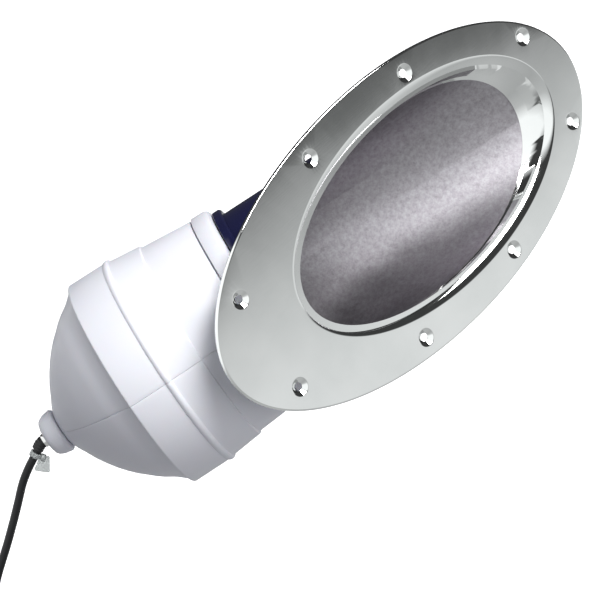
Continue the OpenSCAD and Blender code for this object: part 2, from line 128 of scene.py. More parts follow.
lead = [behind(BOOT_NECK * math.cos(BOOT_TURN), BOOT_NECK * math.sin(BOOT_TURN))]
lead += [behind(*point) for point in ROUTE]
lead += [behind(120.5, 150, 2.9), behind(122.6, 165, 7.3)]
for turn in range(len(TURNS)):
    lead += [in_coil(turn, 2 * math.pi * step / TURN_POINTS) for step in range(TURN_POINTS)]
outermost = COIL_CENTRE[0] + COIL_MIDDLE + CABLE_D
lead += [behind(outermost, COIL_CENTRE[1] + drop, LAST_SIDE) for drop in (0, 14, 28, TAIL_END)]


def thread(name, points, radius, place, smooth=3):
    """A round bar along a smooth line through given points."""
    data = bpy.data.curves.new(name, "CURVE")
    data.dimensions = "3D"
    data.bevel_depth = radius * MM
    data.bevel_resolution = 5
    data.use_fill_caps = True
    data.resolution_u = smooth
    spline = data.splines.new("BEZIER")
    spline.bezier_points.add(len(points) - 1)
    for knot, point in zip(spline.bezier_points, points):
        knot.co = place @ point
        knot.handle_left_type = "AUTO"
        knot.handle_right_type = "AUTO"
    obj = bpy.data.objects.new(name, data)
    bpy.context.scene.collection.objects.link(obj)
    return obj


def material(name, colour, roughness, metallic=0.0):
    """A new material, whose shader has an even colour, roughness and metallic value so far."""
    made = bpy.data.materials.new(name)
    made.use_nodes = True
    shader = made.node_tree.nodes["Principled BSDF"]
    shader.inputs["Base Color"].default_value = (*colour, 1)
    shader.inputs["Roughness"].default_value = roughness
    shader.inputs["Metallic"].default_value = metallic
    return made


def noise(made, scale, detail=3.0, rough=0.5, stretch=None):
    """Adds a noise on the object's own coordinates, in metres, and gives its value's socket."""
    tree = made.node_tree
    coords = tree.nodes.new("ShaderNodeTexCoord")
    source = coords.outputs["Object"]
    if stretch:
        mapping = tree.nodes.new("ShaderNodeMapping")
        mapping.inputs["Rotation"].default_value = stretch[0]
        mapping.inputs["Scale"].default_value = stretch[1]
        tree.links.new(source, mapping.inputs["Vector"])
        source = mapping.outputs["Vector"]
    node = tree.nodes.new("ShaderNodeTexNoise")
    node.inputs["Scale"].default_value = scale
    node.inputs["Detail"].default_value = detail
    node.inputs["Roughness"].default_value = rough
    tree.links.new(source, node.inputs["Vector"])
    return node.outputs["Fac"]


def ramp(made, value, stops, target):
    """Turns a value into colours or greys and feeds them to an input of the shader."""
    node = made.node_tree.nodes.new("ShaderNodeValToRGB")
    elements = node.color_ramp.elements
    while len(elements) < len(stops):
        elements.new(0.5)
    for element, (at, colour) in zip(elements, stops):
        element.position = at
        element.color = (*colour, 1) if isinstance(colour, tuple) else (colour, colour, colour, 1)
    made.node_tree.links.new(value, node.inputs["Fac"])
    made.node_tree.links.new(node.outputs["Color"], made.node_tree.nodes["Principled BSDF"].inputs[target])


def relief(made, value, strength, depth):
    """Adds a bump under any bump that the material has already. depth is in metres."""
    tree = made.node_tree
    normal = tree.nodes["Principled BSDF"].inputs["Normal"]
    bump = tree.nodes.new("ShaderNodeBump")
    bump.inputs["Strength"].default_value = strength
    bump.inputs["Distance"].default_value = depth
    tree.links.new(value, bump.inputs["Height"])
    if normal.links:
        tree.links.new(normal.links[0].from_socket, bump.inputs["Normal"])
    tree.links.new(bump.outputs["Normal"], normal)


jacket = material("cable_jacket", (0.006, 0.006, 0.007), 0.38)
jacket.node_tree.nodes["Principled BSDF"].inputs["Specular IOR Level"].default_value = 0.3
ramp(jacket, noise(jacket, 260, 4, 0.6), [(0.3, 0.3), (0.75, 0.5)], "Roughness")
ramp(
    jacket, noise(jacket, 45, 3), [(0.35, (0.004, 0.004, 0.005)), (0.7, (0.010, 0.010, 0.011))], "Base Color",
)
relief(jacket, noise(jacket, 900, 3), 0.25, 0.0002)

cable = thread("lead_cable", lead, CABLE_D / 2, beam)
cable.data.materials.append(jacket)
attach(cable, "housing")
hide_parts("cable", "cable_coil", "cable_tail")

# ---------------------------------------------------------------------------- cable's end
# The last of the jacket is stripped, and the brown and the blue core come out, each with its
# copper strands bared and twisted at the tip.
CORE_R = 1.1
CORE_LENGTH = 20
BARE_LENGTH = 6
CORE_GAP = 1.2


def settle(name, bm, looks, body, slot, *nodes, crease=32):
    """Makes an object of a finished mesh, smooth but for its sharp edges, that rides on a body."""
    mesh = bpy.data.meshes.new(name)
    bm.to_mesh(mesh)
    bm.free()
    mesh.polygons.foreach_set("use_smooth", [True] * len(mesh.polygons))
    mesh.set_sharp_from_angle(angle=math.radians(crease))
    for look in looks if isinstance(looks, (list, tuple)) else [looks]:
        mesh.materials.append(look)
    obj = bpy.data.objects.new(name, mesh)
    bpy.context.scene.collection.objects.link(obj)
    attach(obj, body)
    if nodes:
        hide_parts(*nodes)
    return obj


def turned(bm, profile, steps=160, rounding=0.4, closed=True, material_index=0):
    """Spins an outline of (radius, distance along) corners round local z and rounds its edges."""
    corners = [bm.verts.new((radius, 0, along)) for radius, along in profile]
    ends = zip(corners, corners[1:] + corners[:1] if closed else corners[1:])
    edges = [bm.edges.new(pair) for pair in ends]
    old = set(bm.faces)
    bmesh.ops.spin(
        bm, geom=corners + edges, cent=(0, 0, 0), axis=(0, 0, 1),
        angle=2 * math.pi, steps=steps, use_merge=True,
    )
    bmesh.ops.remove_doubles(bm, verts=[v for v in bm.verts if v.co.xy.length < 0.001], dist=0.001)
    new = [face for face in bm.faces if face not in old]
    bmesh.ops.recalc_face_normals(bm, faces=new)
    for face in new:
        face.material_index = material_index
    if rounding:
        rims = {edge for face in new for edge in face.edges}
        rims = [edge for edge in rims if edge.is_manifold and edge.calc_face_angle() > 0.5]
        bmesh.ops.bevel(
            bm, geom=rims, offset=rounding, offset_type="OFFSET", segments=3, profile=0.5,
            affect="EDGES", material=-1, clamp_overlap=True,
        )
    return bm


def put(bm, place):
    """Moves a whole mesh by a transform and gives it back."""
    bmesh.ops.transform(bm, matrix=place, verts=bm.verts)
    return bm


brown_core = material("brown_core", (0.10, 0.035, 0.015), 0.42)
relief(brown_core, noise(brown_core, 1200), 0.15, 0.0001)
blue_core = material("blue_core", (0.02, 0.06, 0.22), 0.42)
relief(blue_core, noise(blue_core, 1200), 0.15, 0.0001)
copper = material("copper_strands", (0.72, 0.32, 0.18), 0.35, 1.0)
relief(copper, noise(copper, 700, stretch=((0.5, 0, 0), (1, 1, 0.2))), 0.5, 0.0003)

cores = bmesh.new()
for index, side in enumerate((-CORE_GAP, CORE_GAP)):
    core = bmesh.new()
    sheath = [(0, -1), (CORE_R, -1), (CORE_R, CORE_LENGTH - BARE_LENGTH), (0, CORE_LENGTH - BARE_LENGTH)]
    turned(core, sheath, 20, 0.25, closed=False, material_index=index)
    strands = [(0, 0), (CORE_R * 0.6, 0), (CORE_R * 0.55, CORE_LENGTH - 1), (0, CORE_LENGTH)]
    turned(core, strands, 12, 0.1, closed=False, material_index=2)
    put(core, Matrix.Translation((0, side, 0)))
    step = bpy.data.meshes.new("core")
    core.to_mesh(step)
    core.free()
    cores.from_mesh(step)
    bpy.data.meshes.remove(step)
tail_end = behind(outermost, COIL_CENTRE[1] + TAIL_END, LAST_SIDE)
core_place = Matrix.Translation(tail_end) @ Matrix.Rotation(-math.pi / 2, 4, "Y")
core_ends = settle(
    "core_ends_bared", put(cores, beam @ core_place),
    [brown_core, blue_core, copper], "housing", "core_copper", "core_ends",
)

# ---------------------------------------------------------------------------- coil's tie
# A reusable clear strap, drawn round the turns at the top of the coil and snapped in its head.
STRAP_T = 1.2
STRAP_W = 4

strap_plastic = material("clear_strap", (0.62, 0.65, 0.64), 0.22)
strap_plastic.node_tree.nodes["Principled BSDF"].inputs["Transmission Weight"].default_value = 0.55
strap_plastic.node_tree.nodes["Principled BSDF"].inputs["IOR"].default_value = 1.46
ramp(strap_plastic, noise(strap_plastic, 160, 3), [(0.3, 0.14), (0.7, 0.34)], "Roughness")
relief(strap_plastic, noise(strap_plastic, 500, 2), 0.2, 0.0002)


def box(bm, size, place):
    """Adds a box with softened edges, of a size in local x, y and z, at a place."""
    made = bmesh.ops.create_cube(bm, size=1, matrix=place @ Matrix.Diagonal((*size, 1)))
    edges = list({edge for vert in made["verts"] for edge in vert.link_edges})
    bmesh.ops.bevel(
        bm, geom=edges, offset=min(size) * 0.22, offset_type="OFFSET", segments=3, profile=0.5,
        affect="EDGES", material=-1, clamp_overlap=True,
    )


tie = bmesh.new()
bundle_high = 3 * CABLE_D + 0.6
bundle_wide = 4 * CABLE_D + 0.2
loop = bmesh.ops.create_grid(
    tie, x_segments=1, y_segments=1, size=0.5, matrix=Matrix.Diagonal((bundle_high, bundle_wide, 1, 1)),
)
face = tie.faces[:][0]
bmesh.ops.bevel(
    tie, geom=loop["verts"], offset=2, offset_type="OFFSET", segments=5, profile=0.5,
    affect="VERTICES", material=-1,
)
rim = [edge for edge in tie.edges if edge.is_boundary]
bmesh.ops.delete(tie, geom=tie.faces[:], context="FACES_ONLY")
raised = bmesh.ops.extrude_edge_only(tie, edges=rim)["geom"]
bmesh.ops.translate(tie, vec=(0, 0, STRAP_W), verts=[v for v in raised if isinstance(v, bmesh.types.BMVert)])
bmesh.ops.translate(tie, vec=(0, 0, -STRAP_W / 2), verts=tie.verts[:])
bmesh.ops.recalc_face_normals(tie, faces=tie.faces[:])
bmesh.ops.solidify(tie, geom=tie.faces[:], thickness=-STRAP_T)
bmesh.ops.recalc_face_normals(tie, faces=tie.faces[:])
coil_top = behind(COIL_CENTRE[0], COIL_CENTRE[1]) + Vector((COIL_MIDDLE, 0, 0))
coil_strap = settle(
    "coil_strap", put(tie, beam @ Matrix.Translation(coil_top)), strap_plastic,
    "housing", "clear_strap", "coil_tie",
)

# ---------------------------------------------------------------------------- cable strap
# A clear strap round the lead, just past the boot, with its locking head below and a clear
# tag hanging from it, by which the lead is tied to the reinforcement before the wall is poured.
STRAP_AT = (9.5, 5.5)
STRAP_BORE = CABLE_D / 2 + 0.3
STRAP_HEAD = (4, 5, 5)
# Corners of the hanging tag, as reach behind the boot's bend and drop below the beam axis
TAG = [(1.5, 12.5), (10, 9.9), (18, 15.5), (9, 24)]
TAG_T = 1.2

strap = bmesh.new()
turned(strap, [
    (STRAP_BORE, -STRAP_W / 2), (STRAP_BORE + STRAP_T, -STRAP_W / 2),
    (STRAP_BORE + STRAP_T, STRAP_W / 2), (STRAP_BORE, STRAP_W / 2),
], 32, 0.3)
box(strap, STRAP_HEAD, Matrix.Translation((-CABLE_D / 2 - 1 - STRAP_HEAD[0] / 2, 0, 0)))
strap_place = Matrix.Translation(behind(*STRAP_AT)) @ Matrix.Rotation(-BOOT_TURN, 4, "Y")
put(strap, strap_place)
corners = [strap.verts.new(behind(reach, drop, -TAG_T / 2)) for reach, drop in TAG]
tag_face = strap.faces.new(corners)
bmesh.ops.bevel(
    strap, geom=corners, offset=1.6, offset_type="OFFSET", segments=4, profile=0.5,
    affect="VERTICES", material=-1,
)
tag_face = max((face for face in strap.faces if len(face.verts) > 8), key=lambda face: face.calc_area())
tag_sheet = bmesh.ops.extrude_face_region(strap, geom=[tag_face], use_keep_orig=True)["geom"]
far_side = [item for item in tag_sheet if isinstance(item, bmesh.types.BMVert)]
bmesh.ops.translate(strap, vec=(0, TAG_T, 0), verts=far_side)
bmesh.ops.recalc_face_normals(strap, faces=strap.faces[:])
lead_strap = settle(
    "lead_strap", put(strap, beam), strap_plastic, "housing", "clear_strap", "cable_tie",
)

# ---------------------------------------------------------------------------- wall flange
# Stainless sheet, pressed and polished like a mirror: a flat oval plate whose mouth is rolled
# inwards to meet the beam tube, in a wide slope on the beam's side and a tight fold on the
# housing's side. Eight dimpled, countersunk holes take the wall screws.
PLATE_T = 3
PLATE_NEAR = 206
PLATE_FAR = 194
PLATE_HALF = 102
MOUTH_MIDDLE = 16.3
MOUTH_REACH = 144
MOUTH_HALF = 77
LINER_R = 67
LIP_R = 66.3
LIP_DEPTH = 13
LIP_LEAN = 12
AROUND = 256
LIP_STEPS = 24
SCREWS = [(x, z) for x in (-164, 164) for z in (-40, 40)] + [(x, z) for x in (-54, 54) for z in (-83, 83)]
SINK_R = 6.8
SCREW_R = 3.3
SINK_LAND = 0.5
HOLE_SIDES = 40

steel = material("polished_steel", (0.70, 0.71, 0.70), 0.06, 1.0)
ramp(steel, noise(steel, 14, 4), [(0.3, (0.66, 0.67, 0.665)), (0.7, (0.74, 0.745, 0.74))], "Base Color")
ramp(steel, noise(steel, 60, 5, 0.65), [(0.3, 0.035), (0.75, 0.09)], "Roughness")
relief(steel, noise(steel, 7, 1.5), 0.35, 0.0016)
relief(steel, noise(steel, 1500, 2, 0.5, ((0, 0, 0), (0.06, 1, 1))), 0.05, 0.00005)


def oval(turn, inset=0.0):
    """A point of the plate's outline, which reaches further on the housing's side."""
    reach = PLATE_FAR if math.cos(turn) > 0 else PLATE_NEAR
    return (reach - inset) * math.cos(turn), (PLATE_HALF - inset) * math.sin(turn)


def on_beam(turn, radius, along):
    """A point at a distance along the beam axis, where turn 0 is the side the beam points to."""
    middle = Vector((AXIS_X, 0, 0)) + back * along
    return middle + up * (radius * math.sin(turn)) + across * (radius * math.cos(turn))


def lip(turn, share):
    """A point of the rolled mouth, on a curve from the flat face (share 0) that cuts the corner
    where face and tube would meet and ends on the liner's wall (share 1)."""
    lean = math.cos(turn)
    on_face = Vector((MOUTH_MIDDLE + MOUTH_REACH * lean, -PLATE_T, MOUTH_HALF * math.sin(turn)))
    meets_face = -(LIP_R * math.sin(TUBE_ANGLE) * lean + PLATE_T) / math.cos(TUBE_ANGLE)
    corner = on_beam(turn, LIP_R, meets_face)
    fold = on_face.lerp(corner, 0.5)
    end = on_beam(turn, LIP_R, meets_face + LIP_DEPTH + LIP_LEAN * lean * lean)
    return on_face * (1 - share) ** 2 + fold * 2 * share * (1 - share) + end * share**2


def first_loop(bm, count, place):
    """A closed loop of vertices, each put at its place."""
    verts = bmesh.ops.create_circle(bm, cap_ends=False, segments=count, radius=1)["verts"]
    for index, vert in enumerate(verts):
        vert.co = place(2 * math.pi * index / count)
    return verts


def loop_edges(bm, verts):
    return [bm.edges.get((verts[index - 1], verts[index])) for index in range(len(verts))]


def next_loop(bm, verts, place):
    """Extrudes a loop and puts its new vertices at their places."""
    made = bmesh.ops.extrude_edge_only(bm, edges=loop_edges(bm, verts))["geom"]
    fresh = {item for item in made if isinstance(item, bmesh.types.BMVert)}
    new = [next(e.other_vert(v) for e in v.link_edges if e.other_vert(v) in fresh) for v in verts]
    for index, vert in enumerate(new):
        vert.co = place(2 * math.pi * index / len(verts))
    return new


plate = bmesh.new()
# Rounded edge of the plate, as inset from the outline and level
RIM = [
    (1.5, -PLATE_T), (1.0, -2.93), (0.55, -2.72), (0.2, -2.35), (0.03, -1.9), (0, -1.4), (0, -0.5), (0.5, 0),
]


def rim_place(inset, level):
    return lambda turn: Vector((oval(turn, inset)[0], level, oval(turn, inset)[1]))


def lip_end(turn):
    """Where the lip's last edge meets the liner's bore."""
    return lip(turn, 1) + (on_beam(turn, LINER_R, 0) - on_beam(turn, LIP_R, 0))


rim_loop = front_rim = first_loop(plate, AROUND, rim_place(*RIM[0]))
for inset, level in RIM[1:]:
    rim_loop = next_loop(plate, rim_loop, rim_place(inset, level))
lip_loop = front_mouth = first_loop(plate, AROUND, lambda turn: lip(turn, 0))
for step in range(1, LIP_STEPS + 1):
    share = step / LIP_STEPS
    lip_loop = next_loop(plate, lip_loop, lambda turn: lip(turn, share))
lip_loop = next_loop(plate, lip_loop, lip_end)
back_mouth = next_loop(
    plate, lip_loop, lambda turn: on_beam(turn, LINER_R, -LINER_R * math.tan(TUBE_ANGLE) * math.cos(turn)),
)
front_edges = loop_edges(plate, front_rim) + loop_edges(plate, front_mouth)
back_edges = loop_edges(plate, rim_loop) + loop_edges(plate, back_mouth)
SINK = [
    (SINK_R + 0.5, -PLATE_T), (SINK_R + 0.1, -PLATE_T + 0.04), (SINK_R - 0.25, -PLATE_T + 0.2),
    (SCREW_R, -SINK_LAND), (SCREW_R, 0),
]
for x, z in SCREWS:
    def sink_place(radius, level):
        return lambda turn: Vector((x + radius * math.cos(turn), level, z + radius * math.sin(turn)))
    hole = first_loop(plate, HOLE_SIDES, sink_place(*SINK[0]))
    front_edges += loop_edges(plate, hole)
    for radius, level in SINK[1:]:
        hole = next_loop(plate, hole, sink_place(radius, level))
    back_edges += loop_edges(plate, hole)
for edges, facing in ((front_edges, -1), (back_edges, 1)):
    bmesh.ops.triangle_fill(plate, use_beauty=True, use_dissolve=False, edges=edges, normal=(0, facing, 0))
bmesh.ops.recalc_face_normals(plate, faces=plate.faces[:])
flange = settle(
    "polished_flange", put(plate, Matrix.Scale(MM, 4)), steel, "root", "polished_steel", "flange", crease=50,
)
weighted = flange.modifiers.new("flat faces stay flat", "WEIGHTED_NORMAL")
weighted.keep_sharp = True
weighted.weight = 100

# ---------------------------------------------------------------------------- beam tube
# A thin stainless liner, blasted matte inside so that it scatters stray light, bonded into a
# sleeve of dark navy pressure pipe. Both are cut off obliquely behind the flange, and a collar
# is bonded on the sleeve in front of the housing.
SLEEVE_R = 70
SLEEVE_IN = 68
SLEEVE_END = 167
TUBE_FRONT = -260
COLLAR_R = 75
COLLAR_FRONT = 136
COLLAR_BACK = 143

blasted = material("blasted_steel", (0.42, 0.41, 0.43), 0.42, 1.0)
ramp(
    blasted, noise(blasted, 260, 8, 0.85),
    [(0.36, (0.27, 0.25, 0.27)), (0.66, (0.46, 0.445, 0.475))], "Base Color",
)
ramp(blasted, noise(blasted, 35, 4), [(0.3, 0.33), (0.7, 0.44)], "Roughness")
relief(blasted, noise(blasted, 1500, 4, 0.7), 0.5, 0.0002)
navy = material("navy_pipe", (0.010, 0.011, 0.045), 0.12)
ramp(navy, noise(navy, 30, 4), [(0.3, 0.09), (0.75, 0.2)], "Roughness")
relief(navy, noise(navy, 250, 2, 0.5, ((0, 0, TUBE_ANGLE), (1, 0.1, 1))), 0.06, 0.0002)


def cut_at_wall(bm):
    """Cuts a tube off along the back of the flange and closes its end."""
    cut = bmesh.ops.bisect_plane(
        bm, geom=bm.verts[:] + bm.edges[:] + bm.faces[:], dist=1e-6,
        plane_co=(0, 0.02 * MM, 0), plane_no=(0, -1, 0), clear_outer=True,
    )
    rims = [edge for edge in cut["geom_cut"] if isinstance(edge, bmesh.types.BMEdge)]
    bmesh.ops.bridge_loops(bm, edges=rims)
    bmesh.ops.recalc_face_normals(bm, faces=bm.faces[:])
    return bm


liner = turned(bmesh.new(), [
    (LINER_R + 0.02, TUBE_FRONT), (SLEEVE_IN - 0.02, TUBE_FRONT), (SLEEVE_IN - 0.02, SLEEVE_END),
    (LINER_R + 0.02, SLEEVE_END),
], 192, 0)
settle("beam_liner", cut_at_wall(put(liner, beam)), blasted, "root", "blasted_steel", "liner_tube")
sleeve = turned(bmesh.new(), [
    (SLEEVE_IN, TUBE_FRONT), (SLEEVE_R, TUBE_FRONT), (SLEEVE_R, SLEEVE_END - 1),
    (SLEEVE_R - 1, SLEEVE_END), (SLEEVE_IN, SLEEVE_END),
], 192, 0)
settle("dark_sleeve", cut_at_wall(put(sleeve, beam)), navy, "root", "navy_plastic", "niche_sleeve")
collar = turned(bmesh.new(), [
    (SLEEVE_R + 0.02, COLLAR_FRONT), (COLLAR_R - 1.5, COLLAR_FRONT), (COLLAR_R, COLLAR_FRONT + 1.5),
    (COLLAR_R, COLLAR_BACK), (SLEEVE_R + 0.02, COLLAR_BACK),
], 160, 0.5)
settle("sleeve_collar_moulded", put(collar, beam), navy, "root", "navy_plastic", "sleeve_collar")

# ---------------------------------------------------------------------------- lock ring
# A moulded white ring round the front of the housing. Turned, it presses the rubber seal on
# the sleeve and locks the housing. Its front is chamfered and its edges are soft.
RING_R = 80
RING_FRONT = 144
RING_BACK = 159
SPIGOT_R = 75.5
SEAL_FRONT = 148.5

white = material("white_moulding", (0.79, 0.80, 0.85), 0.42)
white.node_tree.nodes["Principled BSDF"].inputs["Subsurface Weight"].default_value = 0.06
white.node_tree.nodes["Principled BSDF"].inputs["Subsurface Scale"].default_value = 0.002
ramp(white, noise(white, 9, 4), [(0.3, (0.755, 0.765, 0.82)), (0.7, (0.81, 0.82, 0.865))], "Base Color")
ramp(white, noise(white, 120, 4), [(0.3, 0.36), (0.7, 0.5)], "Roughness")
relief(white, noise(white, 1400, 3), 0.12, 0.0001)
relief(white, noise(white, 22, 2), 0.12, 0.0008)

ring = turned(bmesh.new(), [
    (SLEEVE_R + 0.3, RING_FRONT), (RING_R - 4, RING_FRONT), (RING_R - 1.5, RING_FRONT + 1.2),
    (RING_R, RING_FRONT + 4), (RING_R, RING_BACK), (SPIGOT_R + 0.3, RING_BACK),
    (SPIGOT_R + 0.3, SEAL_FRONT), (SLEEVE_R + 0.3, SEAL_FRONT),
], 160, 0.7)
settle("lock_ring_moulded", put(ring, beam), white, "lock_ring", "white_plastic", "lock_ring")

# ---------------------------------------------------------------------------- housing shells
# Two moulded white half shells, cemented along a seam that runs the housing's whole length.
# Behind the lock ring the wall widens over a low step to a raised ridge and a straight band,
# and then rounds into the dome and the stub for the cable gland.
SEAM_ROLL = math.radians(10)
SPIGOT_FRONT = 156.5
BODY_FRONT = 160
BODY_R = 79
STEP_R = 82.5
STEP_AT = 202
BAND_R = 88
RIDGE_AT = 230
BAND_BACK = 264
RIB_IN = 66
RIB_FRONT = 168
RIB_BACK = 171
SHELL_END = 326
GLAND_R = 11
GLAND_END = 333
GROMMET_R = 7.75
SEAM_GAP = 0.09

OUTSIDE = [
    (SPIGOT_R, SPIGOT_FRONT), (SPIGOT_R, BODY_FRONT), (BODY_R - 0.8, BODY_FRONT), (BODY_R, BODY_FRONT + 0.9),
    (STEP_R, STEP_AT - 0.7), (STEP_R + 1.4, STEP_AT + 0.1), (STEP_R + 1.7, STEP_AT + 1),
    (BAND_R - 1.3, RIDGE_AT - 3.8), (BAND_R - 1, RIDGE_AT - 2.6), (BAND_R + 0.3, RIDGE_AT - 1.8),
    (BAND_R + 0.9, RIDGE_AT - 0.6), (BAND_R + 0.9, RIDGE_AT + 0.7), (BAND_R + 0.5, RIDGE_AT + 2),
    (BAND_R - 0.4, RIDGE_AT + 2.9), (BAND_R - 0.2, RIDGE_AT + 6), (BAND_R, BAND_BACK - 1.8),
    (BAND_R - 0.2, BAND_BACK - 1), (BAND_R - 0.9, BAND_BACK - 0.4), (BAND_R - 2.6, BAND_BACK + 0.1),
    (BAND_R - 3.3, BAND_BACK + 0.6),
    # the dome
    (80.2, SHELL_END - 56.2), (78, SHELL_END - 53.6), (76, SHELL_END - 50.6), (73.2, SHELL_END - 46),
    (69.6, SHELL_END - 41.2), (65, SHELL_END - 36), (60.2, SHELL_END - 30.4), (54.6, SHELL_END - 25),
    (48.8, SHELL_END - 20), (42, SHELL_END - 15), (34, SHELL_END - 9.8), (25, SHELL_END - 5),
    (20, SHELL_END - 2.1), (17.2, SHELL_END - 0.8), (15.4, SHELL_END),
    (GLAND_R, SHELL_END), (GLAND_R, GLAND_END), (GROMMET_R, GLAND_END),
]
INSIDE = [
    (GROMMET_R, SHELL_END - 8), (15, SHELL_END - 10), (34.9, SHELL_END - 16), (48.4, SHELL_END - 26),
    (59.4, SHELL_END - 36), (67.5, SHELL_END - 48), (72.5, SHELL_END - 56), (BAND_R - 4.5, BAND_BACK - 7),
    (BAND_R - 4.5, RIDGE_AT), (BODY_R - 3.5, STEP_AT + 4), (BODY_R - 3.5, RIB_BACK), (RIB_IN, RIB_BACK),
    (RIB_IN, RIB_FRONT), (SLEEVE_R + 0.3, RIB_FRONT), (SLEEVE_R + 0.3, SPIGOT_FRONT),
]


def half_shell(name, node, side):
    """One shell: the whole turned wall, cut along the seam, closed and softened at the cut."""
    bm = turned(bmesh.new(), OUTSIDE + INSIDE, 200, 0)
    cut = bmesh.ops.bisect_plane(
        bm, geom=bm.verts[:] + bm.edges[:] + bm.faces[:], dist=1e-4,
        plane_co=(side * SEAM_GAP, 0, 0), plane_no=(side, 0, 0), clear_inner=True,
    )
    rims = [edge for edge in cut["geom_cut"] if isinstance(edge, bmesh.types.BMEdge)]
    closed = bmesh.ops.holes_fill(bm, edges=rims, sides=0)["faces"]
    bmesh.ops.bevel(
        bm, geom=[e for e in rims if e.is_valid and e.calc_length() > 1.2], offset=0.45,
        offset_type="OFFSET", segments=2, profile=0.5, affect="EDGES", material=-1, clamp_overlap=True,
    )
    bmesh.ops.triangulate(
        bm, faces=[f for f in bm.faces if len(f.verts) > 4], quad_method="BEAUTY", ngon_method="BEAUTY",
    )
    bmesh.ops.recalc_face_normals(bm, faces=bm.faces[:])
    place = beam @ Matrix.Rotation(SEAM_ROLL, 4, "Z")
    settle(name, put(bm, place), white, "housing", "white_plastic", node, crease=40)


half_shell("upper_half_shell", "upper_shell", 1)
half_shell("lower_half_shell", "lower_shell", -1)

# ---------------------------------------------------------------------------- gland cap
# A white moulded cap screwed on the shells' stub. It squeezes the grommet round the lead.
CAP_R = 18
CAP_FRONT = 326.8
CAP_END = 341
BOOT_R = 4.6
COLLAR_ROOM = 335.3

cap = turned(bmesh.new(), [
    (GLAND_R + 0.3, CAP_FRONT), (CAP_R - 2.6, CAP_FRONT), (CAP_R - 0.9, CAP_FRONT + 0.8),
    (CAP_R, CAP_FRONT + 2.2), (CAP_R - 0.6, CAP_FRONT + 6), (CAP_R - 1.1, CAP_FRONT + 8.4),
    (CAP_R - 2, CAP_END - 3.8), (CAP_R - 2.9, CAP_END - 2), (CAP_R - 4.3, CAP_END - 0.8),
    (CAP_R - 6.5, CAP_END), (BOOT_R + 0.05, CAP_END), (BOOT_R + 0.05, COLLAR_ROOM),
    (GLAND_R + 0.3, COLLAR_ROOM),
], 96, 0)
settle("gland_cap_moulded", put(cap, beam), white, "gland_cap", "white_plastic", "gland_cap", crease=40)

# ---------------------------------------------------------------------------- boot and ferrule
# A short black rubber boot turns the lead down, and a bright ferrule pinches its root.
BOOT_FRONT = 333.5
FERRULE_FRONT = 341.4
FERRULE_BACK = 344.4

rubber = material("black_rubber", (0.008, 0.008, 0.009), 0.4)
rubber.node_tree.nodes["Principled BSDF"].inputs["Specular IOR Level"].default_value = 0.4
ramp(rubber, noise(rubber, 200, 4), [(0.3, 0.35), (0.7, 0.6)], "Roughness")
relief(rubber, noise(rubber, 800, 3), 0.3, 0.0002)
bright = material("bright_steel", (0.68, 0.68, 0.67), 0.2, 1.0)
ramp(bright, noise(bright, 90, 4), [(0.3, 0.14), (0.7, 0.32)], "Roughness")
relief(bright, noise(bright, 900, 3), 0.12, 0.0001)

boot = bmesh.new()
BOOT_STEPS = 14
# Root of the boot, inside the gland cap, as radius and place along the axis
ROOT = [
    (6.6, BOOT_FRONT), (6.8, BOOT_FRONT + 0.3), (6.8, BOOT_FRONT + 1.2), (6.5, BOOT_FRONT + 1.5),
    (BOOT_R, BOOT_FRONT + 1.5), (BOOT_R, BEND_AT - 6), (BOOT_R, BEND_AT - 3),
]
# The boot's middle line sags by a square law, from just before the bend
SAG_FROM = -1.5
SAG_SPAN = 9.06
SAG = 1.24 * BOOT_NECK * math.sin(BOOT_TURN)


def boot_ring(radius, middle, tilt=Matrix.Identity(3)):
    """Points of a ring of the boot round a point of its middle line."""
    return lambda turn: middle + tilt @ Vector((radius * math.cos(turn), radius * math.sin(turn), 0))


ring_loop = root_loop = first_loop(boot, 32, boot_ring(3, Vector((0, 0, BOOT_FRONT))))
for radius, along in ROOT:
    ring_loop = next_loop(boot, ring_loop, boot_ring(radius, Vector((0, 0, along))))
for step in range(1, BOOT_STEPS + 1):
    share = step / BOOT_STEPS
    angle = BOOT_TURN * min(1, share / 0.55)
    reach = -3 + share * (3 + BOOT_NECK * math.cos(BOOT_TURN))
    drop = SAG * max(0, (reach - SAG_FROM) / SAG_SPAN) ** 2
    ribs = 0.35 * (1 if step % 3 == 1 else 0)
    radius = BOOT_R + 0.15 + ribs - (BOOT_R - CABLE_D / 2 - 0.9) * share**1.4
    middle = behind(reach, drop)
    tilt = Matrix.Rotation(-angle, 3, "Y")
    ring_loop = next_loop(boot, ring_loop, boot_ring(radius, middle, tilt))
ring_loop = next_loop(boot, ring_loop, boot_ring(CABLE_D / 2 - 0.2, middle, tilt))
bmesh.ops.holes_fill(boot, edges=loop_edges(boot, ring_loop) + loop_edges(boot, root_loop), sides=0)
bmesh.ops.recalc_face_normals(boot, faces=boot.faces[:])
settle("rubber_boot", put(boot, beam), rubber, "housing", "seal_rubber", "cable_boot")
ferrule = turned(bmesh.new(), [
    (BOOT_R + 0.02, FERRULE_FRONT), (BOOT_R + 0.8, FERRULE_FRONT), (BOOT_R + 0.8, FERRULE_BACK),
    (BOOT_R + 0.02, FERRULE_BACK),
], 48, 0.25)
settle("boot_ferrule_turned", put(ferrule, beam), bright, "housing", "stainless", "boot_ferrule")

# ---------------------------------------------------------------------------- window
# A thick flat pane of toughened glass behind the beam tube. It is clamped against a gasket in
# an alloy frame by a ring with six screws, and an O-ring seals the frame in the shells.
WINDOW_R = 68
WINDOW_FRONT = 175.5
WINDOW_BACK = 183.5

